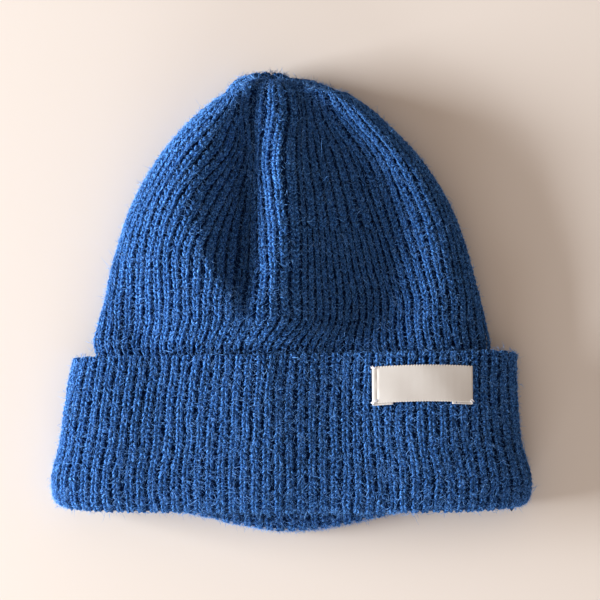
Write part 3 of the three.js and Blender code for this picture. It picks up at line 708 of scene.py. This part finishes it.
def make_cuff_stitches():
    """The cuff's stitches in two pieces, the front and the back."""
    rows = np.arange(0.3, cuff_fabric.rows - 1.0)
    columns, rows = (grid.ravel() for grid in np.meshgrid(np.arange(RIBS, dtype=float), rows))
    widths = np.ones(len(columns))
    fold_row = (CUFF_DEPTH / ROW_PITCH) - 0.5
    front = is_front(columns) & (rows < fold_row + 2)
    pieces = []
    for name, chosen, sides, rings in (("cuff_front_stitches", front, 6, 3), ("cuff_back_stitches", ~front, 5, 2)):
        pieces.append(stitch_legs(name, cuff_fabric, columns[chosen], rows[chosen], widths[chosen], sides, rings))
    return pieces


# The label's tape. Its place comes from the middle of the solid that it stands for.
label_low, label_high = (Vector(corner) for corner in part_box("label"))
label_middle = (label_low + label_high) / 2
LABEL_WIDTH = 36.5 * MM
LABEL_DEPTH = 13.5 * MM
LABEL_TURN = math.radians(0.5)
LABEL_BOW = 0.7 * MM
LABEL_LIFT = 0.75 * MM
TAPE = 0.36 * MM
TAPE_FOLD_RADIUS = 0.30 * MM
LEFT_HEM = 7.4 * MM
RIGHT_HEM = 7.6 * MM
HEM_DROP = 0.8 * MM
TOOTH_PITCH = 1.0 * MM
TOOTH_DEPTH = 0.32 * MM
SEWN_IN = 1.6 * MM
SEWN_DENT = 0.10 * MM


def cuff_top(x, y):
    """The height of the cuff's front over a point of its plan."""
    line = front_line(cuff_section(min(max(y - FOLD_Y, 0.0), CUFF_DEPTH)))
    return float(np.interp(x, line[:, 0], line[:, 1]))


def label_point(across, up, height):
    """A point over the cuff from its place on the label."""
    bowed = up + LABEL_BOW * (1 - (2 * across / LABEL_WIDTH) ** 2) - LABEL_BOW / 2
    x = label_middle.x + across * math.cos(LABEL_TURN) - bowed * math.sin(LABEL_TURN)
    y = label_middle.y + across * math.sin(LABEL_TURN) + bowed * math.cos(LABEL_TURN)
    return x, y, cuff_top(x, y) + height


def label_profile():
    """The tape from the end of its left hem over its face to the end of its right hem: across and height."""
    half = LABEL_WIDTH / 2
    radius = TAPE_FOLD_RADIUS
    face = [(x, 0.0) for x in np.linspace(-half + radius, half - radius, 261)]
    turn = [(radius * math.sin(a), radius * math.cos(a) - radius) for a in np.linspace(0, math.pi, 7)[1:-1]]
    right = [(half - radius + x, z) for x, z in turn]
    right += [(x, -2 * radius) for x in np.linspace(half - radius, half - RIGHT_HEM, 12)]
    left = [(-half + radius - x, z) for x, z in turn]
    left += [(x, -2 * radius) for x in np.linspace(-half + radius, -half + LEFT_HEM, 12)]
    return left[::-1] + face + right


def make_label():
    """The tape: its toothed face, dented where it is sewn, and the two ends turned under it."""
    half = LABEL_WIDTH / 2
    rows = np.linspace(-0.5, 0.5, 33)
    profile = label_profile()
    points = np.zeros((len(rows), len(profile), 3))
    for row, share in enumerate(rows):
        for column, (across, down) in enumerate(profile):
            tooth = 0.5 - 0.5 * math.cos(2 * math.pi * across / TOOTH_PITCH)
            edge = max(0.0, (abs(share) - 0.44) / 0.06)
            notch = TOOTH_DEPTH * tooth * edge * (1.0 if share > 0 else 0.35)
            under = min(-down / (2 * TAPE_FOLD_RADIUS), 1.0)
            up = share * LABEL_DEPTH - notch * np.sign(share) * (1 - under) - HEM_DROP * under
            sewn = math.exp(-((across + half - SEWN_IN) / (0.45 * MM)) ** 2)
            dent = SEWN_DENT * sewn * (0.5 + math.sin(2 * math.pi * share) ** 2)
            ripple = 0.08 * MM * math.sin(5.0 * across / half + 3.0 * share)
            height = LABEL_LIFT + down + ripple - dent - 0.3 * notch
            points[row, column] = label_point(across, up, height)
    shape = bmesh.new()
    layer = shape.loops.layers.uv.new("OFBake")
    add_sheet(shape, layer, points, 0.0, 0.45)
    bmesh.ops.recalc_face_normals(shape, faces=shape.faces)
    mesh = bpy.data.meshes.new("label_tape")
    shape.to_mesh(mesh)
    shape.free()
    mesh.polygons.foreach_set("use_smooth", np.ones(len(mesh.polygons), dtype=bool))
    piece = bpy.data.objects.new("label_tape", mesh)
    bpy.context.scene.collection.objects.link(piece)
    wall = piece.modifiers.new("thickness", "SOLIDIFY")
    wall.thickness = TAPE
    wall.offset = 0.0
    return piece


# The label's sewing thread: each stitch runs from one place on the label to another, in shares of its size.
THREAD_RADIUS = 0.17 * MM
THREAD_STITCHES = (
    (-0.525, 0.50, -0.455, 0.44), (-0.520, 0.46, -0.440, 0.47), (-0.505, 0.53, -0.470, 0.41),
    (-0.520, -0.50, -0.450, -0.40), (-0.515, -0.43, -0.440, -0.46), (-0.525, -0.47, -0.430, -0.42),
    (-0.500, -0.53, -0.470, -0.38), (0.470, -0.43, 0.505, -0.53), (0.485, -0.40, 0.520, -0.48),
)


def make_thread():
    """Short arched stitches of sewing thread at the label's corners."""
    rings = 6
    share = np.linspace(0.0, 1.0, rings + 2)
    centres = []
    for across_from, up_from, across_to, up_to in THREAD_STITCHES:
        across = (across_from + (across_to - across_from) * share) * LABEL_WIDTH
        up = (up_from + (up_to - up_from) * share) * LABEL_DEPTH
        height = LABEL_LIFT + TAPE / 2 + 0.32 * MM * np.sin(math.pi * share) - 0.20 * MM
        centres.append([label_point(*place) for place in zip(across, up, height)])
    centres = np.array(centres)
    ups = np.zeros_like(centres)
    ups[..., 2] = 1.0
    thickness = THREAD_RADIUS * np.sin(math.pi * share)[None] ** 0.35 * np.ones((len(centres), 1))
    tones = chance.random(len(centres))
    return strand_piece("label_thread", strand_shape(8, rings), centres, ups, thickness, thickness, tones, 3 * MM)


def node(tree, kind, place, **settings):
    """A shader node with its settings and the values of its inputs."""
    made = tree.nodes.new(kind)
    made.location = place
    for name, value in settings.items():
        if name in made.inputs:
            made.inputs[name].default_value = value
        else:
            setattr(made, name, value)
    return made


def new_group(name, inputs, outputs):
    """A shader node group with named sockets."""
    group = bpy.data.node_groups.new(name, "ShaderNodeTree")
    for socket_name, kind, value in inputs:
        socket = group.interface.new_socket(socket_name, in_out="INPUT", socket_type=kind)
        socket.default_value = value
    for socket_name, kind in outputs:
        group.interface.new_socket(socket_name, in_out="OUTPUT", socket_type=kind)
    return group, node(group, "NodeGroupInput", (-900, 0)), node(group, "NodeGroupOutput", (700, 0))


def math_node(tree, operation, place, first, second):
    """A Math node fed by sockets or plain numbers."""
    made = node(tree, "ShaderNodeMath", place, operation=operation)
    for index, source in enumerate((first, second)):
        if hasattr(source, "is_linked"):
            tree.links.new(source, made.inputs[index])
        else:
            made.inputs[index].default_value = source
    return made.outputs[0]


def make_flecks_group():
    """Wool flecks: a sharp value for single fibres, a soft one for patches, and fine height between them."""
    group, given, result = new_group(
        "wool_flecks",
        [("Fibre Vector", "NodeSocketVector", (0, 0, 0)), ("Patch Vector", "NodeSocketVector", (0, 0, 0)),
         ("Patch Scale", "NodeSocketFloat", 170.0)],
        [("Fleck", "NodeSocketFloat"), ("Patch", "NodeSocketFloat"), ("Height", "NodeSocketFloat")])
    fine = node(group, "ShaderNodeTexNoise", (-600, 200), Scale=1.0, Detail=3.0, Roughness=0.6)
    fluff = node(group, "ShaderNodeTexNoise", (-600, -100), Scale=0.8, Detail=4.0, Roughness=0.7)
    patch = node(group, "ShaderNodeTexNoise", (-600, -400), Detail=2.0, Roughness=0.5)
    for texture, vector in ((fine, "Fibre Vector"), (fluff, "Fibre Vector"), (patch, "Patch Vector")):
        group.links.new(given.outputs[vector], texture.inputs["Vector"])
    group.links.new(given.outputs["Patch Scale"], patch.inputs["Scale"])
    for texture, low, high, socket in ((fine, 0.46, 0.58, "Fleck"), (patch, 0.35, 0.65, "Patch")):
        sharp = node(group, "ShaderNodeMapRange", (-350, texture.location.y))
        sharp.inputs["From Min"].default_value = low
        sharp.inputs["From Max"].default_value = high
        group.links.new(texture.outputs["Fac"], sharp.inputs["Value"])
        group.links.new(sharp.outputs["Result"], result.inputs[socket])
    group.links.new(fluff.outputs["Fac"], result.inputs["Height"])
    return group


def make_twist_group():
    """Yarn twist: slanted plies round a strand, from the strand's own map."""
    group, given, result = new_group(
        "yarn_twist",
        [("Plies", "NodeSocketFloat", 2.0), ("Turns", "NodeSocketFloat", 0.55)],
        [("Ply", "NodeSocketFloat")])
    uv = node(group, "ShaderNodeUVMap", (-900, 250), uv_map="yarn")
    parts = node(group, "ShaderNodeSeparateXYZ", (-700, 250))
    group.links.new(uv.outputs["UV"], parts.inputs[0])
    around = math_node(group, "MULTIPLY", (-500, 300), parts.outputs["X"], given.outputs["Plies"])
    along = math_node(group, "MULTIPLY", (-500, 120), parts.outputs["Y"], given.outputs["Turns"])
    total = math_node(group, "ADD", (-300, 200), around, along)
    turned = math_node(group, "MULTIPLY", (-120, 200), total, 2 * math.pi)
    wave = math_node(group, "SINE", (60, 200), turned, 0.0)
    half = math_node(group, "MULTIPLY", (240, 200), wave, 0.5)
    ply = math_node(group, "ADD", (420, 200), half, 0.5)
    group.links.new(ply, result.inputs["Ply"])
    return group


flecks_group = make_flecks_group()
twist_group = make_twist_group()


def mixed(tree, place, factor, first, second):
    """Two colours mixed by a factor."""
    mix = node(tree, "ShaderNodeMix", place, data_type="RGBA")
    tree.links.new(factor, mix.inputs["Factor"])
    for index, source in ((6, first), (7, second)):
        if hasattr(source, "is_linked"):
            tree.links.new(source, mix.inputs[index])
        else:
            mix.inputs[index].default_value = source
    return mix.outputs[2]


DEEP_BLUE = (0.002, 0.011, 0.042, 1.0)
BLUE = (0.010, 0.058, 0.205, 1.0)
LIGHT_BLUE = (0.130, 0.350, 0.780, 1.0)
PALE_BLUE = (0.300, 0.540, 0.920, 1.0)
TAPE_WHITE = (0.72, 0.70, 0.67, 1.0)
TAPE_SHADE = (0.58, 0.55, 0.51, 1.0)
THREAD_WHITE = (0.86, 0.86, 0.87, 1.0)
THREAD_SHADE = (0.66, 0.67, 0.72, 1.0)

# How fibres stretch along a yarn: the map counts turns round it and millimetres along it.
YARN_FIBRES = (8.0, 1.7, 1.0)
WALL_FIBRES = (2600.0, 2600.0, 2600.0)


def new_material(name, roughness, sheen, sheen_tint):
    """A material with one plain shader whose constants are set on its own sockets."""
    material = bpy.data.materials.new(name)
    material.use_nodes = True
    tree = material.node_tree
    shader = tree.nodes["Principled BSDF"]
    shader.inputs["Roughness"].default_value = roughness
    shader.inputs["Sheen Weight"].default_value = sheen
    shader.inputs["Sheen Roughness"].default_value = 0.45
    shader.inputs["Sheen Tint"].default_value = sheen_tint
    shader.inputs["Specular IOR Level"].default_value = 0.10
    return material, tree, shader


def fibre_vector(tree, source, stretch):
    """A vector stretched along the fibres."""
    stretched = node(tree, "ShaderNodeVectorMath", (-1250, -200), operation="MULTIPLY")
    tree.links.new(source, stretched.inputs[0])
    stretched.inputs[1].default_value = stretch
    return stretched.outputs["Vector"]


def wool_material(name, dark, middle, light, is_yarn):
    """Wool: flecked blues, broad patches of tone, and for yarn its plies and the stitch's own tone."""
    material, tree, shader = new_material(name, 0.92, 0.22, (0.30, 0.58, 1.0, 1.0))
    place = node(tree, "ShaderNodeTexCoord", (-1500, 0))
    flecks = node(tree, "ShaderNodeGroup", (-1050, 0), node_tree=flecks_group)
    tree.links.new(place.outputs["Object"], flecks.inputs["Patch Vector"])
    source, stretch = place.outputs["Object"], WALL_FIBRES
    if is_yarn:
        source, stretch = node(tree, "ShaderNodeUVMap", (-1500, -200), uv_map="yarn").outputs["UV"], YARN_FIBRES
    tree.links.new(fibre_vector(tree, source, stretch), flecks.inputs["Fibre Vector"])
    soft = math_node(tree, "MULTIPLY", (-850, 100), flecks.outputs["Patch"], 0.45)
    toned = mixed(tree, (-650, 200), soft, middle, dark)
    toned = mixed(tree, (-450, 200), flecks.outputs["Fleck"], toned, light)
    height = flecks.outputs["Height"]
    if is_yarn:
        tone = node(tree, "ShaderNodeAttribute", (-1050, 400), attribute_name="tone")
        shade = math_node(tree, "MULTIPLY", (-850, 400), tone.outputs["Fac"], 0.45)
        toned = mixed(tree, (-250, 300), shade, toned, middle)
        twist = node(tree, "ShaderNodeGroup", (-1050, -400), node_tree=twist_group)
        ply = math_node(tree, "MULTIPLY", (-800, -400), twist.outputs["Ply"], 0.4)
        height = math_node(tree, "ADD", (-600, -200), ply, height)
    bump = node(tree, "ShaderNodeBump", (-300, -200), Strength=1.0, Distance=0.40 * MM)
    tree.links.new(height, bump.inputs["Height"])
    tree.links.new(bump.outputs["Normal"], shader.inputs["Normal"])
    tree.links.new(toned, shader.inputs["Base Color"])
    return material


def hair_material():
    """Loose hairs: each has its own tone between blue and pale blue, with broad patches of the bluer one."""
    material, tree, shader = new_material("hair_wool", 0.85, 0.20, (0.45, 0.68, 1.0, 1.0))
    tone = node(tree, "ShaderNodeAttribute", (-1050, 300), attribute_name="tone")
    strong = math_node(tree, "POWER", (-850, 300), tone.outputs["Fac"], 1.6)
    place = node(tree, "ShaderNodeTexCoord", (-1050, 0))
    flecks = node(tree, "ShaderNodeGroup", (-800, 0), node_tree=flecks_group)
    for socket in ("Patch Vector", "Fibre Vector"):
        tree.links.new(place.outputs["Object"], flecks.inputs[socket])
    paled = mixed(tree, (-600, 200), strong, LIGHT_BLUE, PALE_BLUE)
    soft = math_node(tree, "MULTIPLY", (-500, 0), flecks.outputs["Patch"], 0.5)
    colour = mixed(tree, (-300, 200), soft, paled, LIGHT_BLUE)
    tree.links.new(colour, shader.inputs["Base Color"])
    return material


def thread_material():
    """White sewing thread with its plies."""
    material, tree, shader = new_material("sewing_thread", 0.55, 0.10, (1.0, 1.0, 1.0, 1.0))
    twist = node(tree, "ShaderNodeGroup", (-700, 0), node_tree=twist_group)
    colour = mixed(tree, (-400, 200), twist.outputs["Ply"], THREAD_SHADE, THREAD_WHITE)
    tree.links.new(colour, shader.inputs["Base Color"])
    bump = node(tree, "ShaderNodeBump", (-300, -200), Strength=0.6, Distance=0.05 * MM)
    tree.links.new(twist.outputs["Ply"], bump.inputs["Height"])
    tree.links.new(bump.outputs["Normal"], shader.inputs["Normal"])
    return material


def tape_material():
    """Woven tape: fine warp and weft, with slightly uneven tone."""
    material, tree, shader = new_material("woven_tape", 0.62, 0.15, (1.0, 0.97, 0.92, 1.0))
    place = node(tree, "ShaderNodeTexCoord", (-1300, 0))
    heights = []
    for direction, offset in (("X", 200), ("Y", -100)):
        wave = node(tree, "ShaderNodeTexWave", (-1000, offset), bands_direction=direction, Scale=900.0,
                    Distortion=0.6)
        tree.links.new(place.outputs["Object"], wave.inputs["Vector"])
        heights.append(wave.outputs["Fac"])
    weave = math_node(tree, "MULTIPLY", (-700, 0), heights[0], heights[1])
    stain = node(tree, "ShaderNodeTexNoise", (-1000, -400), Scale=90.0, Detail=3.0)
    tree.links.new(place.outputs["Object"], stain.inputs["Vector"])
    tone = math_node(tree, "MULTIPLY", (-500, -200), stain.outputs["Fac"], 0.5)
    colour = mixed(tree, (-250, 200), tone, TAPE_WHITE, TAPE_SHADE)
    tree.links.new(colour, shader.inputs["Base Color"])
    bump = node(tree, "ShaderNodeBump", (-300, -200), Strength=0.5, Distance=0.06 * MM)
    tree.links.new(weave, bump.inputs["Height"])
    tree.links.new(bump.outputs["Normal"], shader.inputs["Normal"])
    return material


def finish_piece(piece, material, slot, *replaced):
    """A piece gets its material, rides on the hat and stands for the solids it replaces."""
    piece.data.materials.append(material)
    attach(piece, "root")
    if replaced:
        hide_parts(*replaced)


yarn_wool = wool_material("yarn_wool", DEEP_BLUE, BLUE, LIGHT_BLUE, True)
# The wall under the stitches gets the darkest blues, darker than the yarn: painted shade in the furrows and gaps
# between the stitches.
painted_shade_wall_wool = wool_material("painted_shade_wall_wool", DEEP_BLUE, DEEP_BLUE, BLUE, False)
hair_wool = hair_material()
woven_tape = tape_material()
sewing_thread = thread_material()

finish_piece(make_crown_wall(crown_fabric, crown_inside), painted_shade_wall_wool, "wool_knit", "crown")
finish_piece(make_cuff_wall(cuff_fabric), painted_shade_wall_wool, "wool_knit", "cuff")
for stitches in make_crown_stitches() + make_cuff_stitches():
    finish_piece(stitches, yarn_wool, "wool_knit")


def chance_places(fabric, count, first_row, last_row, back_share):
    """Chance columns and rows evenly over a fabric's area, with the given share of them on its back."""
    tries = 4 * count
    column = chance.uniform(-2.5, HALF_RIBS + 2.5, tries)
    column += np.where(chance.random(tries) < back_share, HALF_RIBS, 0.0)
    row = chance.uniform(first_row, last_row, tries)
    pitch = fabric.look_up(fabric.pitch, column, row)[..., 0]
    is_kept = chance.random(tries) < (pitch / FULL_PITCH) ** HAIRS_BY_PITCH
    return column[is_kept][:count], row[is_kept][:count]


def is_beside_label(column, row, margin):
    """Whether places on the cuff lie outside the label by a margin."""
    place = cuff_fabric.look_up(cuff_fabric.points, column, row)
    across = np.abs(place[:, 0] - label_middle.x) > LABEL_WIDTH / 2 + margin
    up = np.abs(place[:, 1] - label_middle.y) > LABEL_DEPTH / 2 + margin
    return across | up | (place[:, 2] < label_low.z - 4 * MM)


CROWN_HAIRS = 31000
CUFF_HAIRS = 24000
FOLD_HAIRS = 8500
HALO_HAIRS = 2600
GATHER_HAIRS = 1400
GATHER_HAIR_ROWS = (9.0, 0.8)
BAND_HAIRS_PAINTED_LIGHT = 3000
BAND_MARGIN = 8
STRAYS = 350
FIRST_OPEN_ROW = float(crown_fabric.path[len(TUCKED_PLACES)])
LAST_OPEN_ROW = crown_fabric.rows - 1.5
FOLD_ROW = CUFF_DEPTH / ROW_PITCH
column, row = chance_places(crown_fabric, CROWN_HAIRS, FIRST_OPEN_ROW, LAST_OPEN_ROW, 0.15)
crown_hairs = hairs("crown_hairs", crown_fabric, column, row, HAIR_RADIUS, HAIR_LENGTH, 0.10, 0.5, 1)
column, row = chance_places(cuff_fabric, CUFF_HAIRS, 0.0, FOLD_ROW + 1, 0.15)
fold_column, fold_row = chance_places(cuff_fabric, FOLD_HAIRS, FOLD_ROW - 3, cuff_fabric.rows - 2, 0.75)
column, row = np.concatenate((column, fold_column)), np.concatenate((row, fold_row))
beside = is_beside_label(column, row, -0.3 * MM)
cuff_hairs = hairs("cuff_hairs", cuff_fabric, column[beside], row[beside], HAIR_RADIUS, HAIR_LENGTH, 0.12, 0.5, 1)
column, row = chance_places(crown_fabric, HALO_HAIRS, FIRST_OPEN_ROW, LAST_OPEN_ROW, 0.15)
crown_halo = hairs("crown_halo", crown_fabric, column, row, STRAY_RADIUS, HALO_LENGTH, 0.75, 0.4, 1)
column, row = chance_places(cuff_fabric, HALO_HAIRS, 0.0, cuff_fabric.rows - 2, 0.3)
beside = is_beside_label(column, row, HALO_LENGTH)
cuff_halo = hairs("cuff_halo", cuff_fabric, column[beside], row[beside], STRAY_RADIUS, HALO_LENGTH, 0.75, 0.4, 1)
# Pale hairs crowded on the back fold's band below the cuff's edge: loose fuzz, and also painted light that lightens
# the band.
column = chance.uniform(HALF_RIBS + BAND_MARGIN, RIBS - BAND_MARGIN, BAND_HAIRS_PAINTED_LIGHT)
row = chance.uniform(FOLD_ROW + 0.5, cuff_fabric.rows - 1.5, BAND_HAIRS_PAINTED_LIGHT)
band_hairs_painted_light = hairs("cuff_back_fold_hairs_painted_light", cuff_fabric, column, row, HAIR_RADIUS, HAIR_LENGTH, 0.10, 0.5, 1)
column, row = chance_places(crown_fabric, STRAYS, FIRST_OPEN_ROW, LAST_OPEN_ROW, 0.1)
crown_strays = hairs("crown_strays", crown_fabric, column, row, STRAY_RADIUS, STRAY_LENGTH, 0.0, 1.1, 6)
column, row = chance_places(cuff_fabric, STRAYS, 0.0, FOLD_ROW + 1, 0.1)
beside = is_beside_label(column, row, STRAY_LENGTH)
cuff_strays = hairs("cuff_strays", cuff_fabric, column[beside], row[beside], STRAY_RADIUS, STRAY_LENGTH, 0.0, 1.1, 6)
column = chance.uniform(0.0, RIBS, GATHER_HAIRS)
row = crown_fabric.rows - chance.uniform(GATHER_HAIR_ROWS[1], GATHER_HAIR_ROWS[0], GATHER_HAIRS)
gather_hairs = hairs("gather_hairs", crown_fabric, column, row, HAIR_RADIUS, HAIR_LENGTH, 0.35, 0.5, 1)
finish_piece(gather_hairs, yarn_wool, "wool_knit")
for loose in (crown_hairs, cuff_hairs, band_hairs_painted_light, crown_halo, cuff_halo, crown_strays, cuff_strays):
    finish_piece(loose, hair_wool, "wool_knit")
finish_piece(make_label(), woven_tape, "woven_tape", "label")
finish_piece(make_thread(), sewing_thread, "woven_tape")


def make_floor():
    """The pale surface that the hat lies on."""
    shape = bmesh.new()
    bmesh.ops.create_grid(shape, x_segments=1, y_segments=1, size=3.0)
    mesh = bpy.data.meshes.new("floor")
    shape.to_mesh(mesh)
    shape.free()
    floor = bpy.data.objects.new("floor", mesh)
    bpy.context.scene.collection.objects.link(floor)
    material = bpy.data.materials.new("pale_floor")
    material.use_nodes = True
    tree = material.node_tree
    shader = tree.nodes["Principled BSDF"]
    shader.inputs["Roughness"].default_value = 0.85
    shader.inputs["Specular IOR Level"].default_value = 0.2
    place = node(tree, "ShaderNodeTexCoord", (-900, 0))
    clouds = node(tree, "ShaderNodeTexNoise", (-700, 0), Scale=3.0, Detail=2.0)
    tree.links.new(place.outputs["Object"], clouds.inputs["Vector"])
    colour = mixed(tree, (-400, 0), clouds.outputs["Fac"], (0.775, 0.72, 0.67, 1.0), (0.79, 0.735, 0.68, 1.0))
    tree.links.new(colour, shader.inputs["Base Color"])
    floor.data.materials.append(material)


def make_area_light(name, width, height, energy, azimuth, elevation):
    """A soft rectangular light at some distance, turned towards the hat."""
    light = bpy.data.lights.new(name, "AREA")
    light.shape = "RECTANGLE"
    light.size = width
    light.size_y = height
    light.energy = energy
    light.color = (0.93, 0.96, 1.0)
    lamp = bpy.data.objects.new(name, light)
    azimuth, elevation = math.radians(azimuth), math.radians(elevation)
    flat = LIGHT_DISTANCE * math.cos(elevation)
    height_over_floor = LIGHT_DISTANCE * math.sin(elevation)
    lamp.location = (flat * math.cos(azimuth), flat * math.sin(azimuth), height_over_floor)
    lamp.rotation_euler = (-lamp.location).to_track_quat("-Z", "Y").to_euler()
    bpy.context.scene.collection.objects.link(lamp)


LIGHT_DISTANCE = 1.6


def make_lights():
    """A broad soft window light low at the left, a faint one before the opening, and dim light all round."""
    world = bpy.data.worlds.new("room")
    bpy.context.scene.world = world
    world.use_nodes = True
    background = world.node_tree.nodes["Background"]
    background.inputs["Color"].default_value = (1.0, 0.84, 0.73, 1.0)
    background.inputs["Strength"].default_value = 0.42
    make_area_light("window", 0.8, 0.40, 65.0, 180, 12)
    make_area_light("far_window", 1.0, 0.50, 10.0, 262, 14)


def make_camera():
    """A camera straight above, with the photograph's framing of 600 by 600."""
    camera = bpy.data.cameras.new("camera")
    camera.sensor_width = 36.0
    distance = 0.55
    view_width = 0.222
    camera.lens = camera.sensor_width * distance / view_width
    camera.clip_start = 0.01
    above = bpy.data.objects.new("camera", camera)
    above.location = (0.0031, 0.0009, 0.009 + distance)
    bpy.context.scene.collection.objects.link(above)
    bpy.context.scene.camera = above


make_floor()
make_lights()
make_camera()
bpy.context.scene.view_settings.view_transform = "Standard"
bpy.context.scene.view_settings.look = "Medium High Contrast"
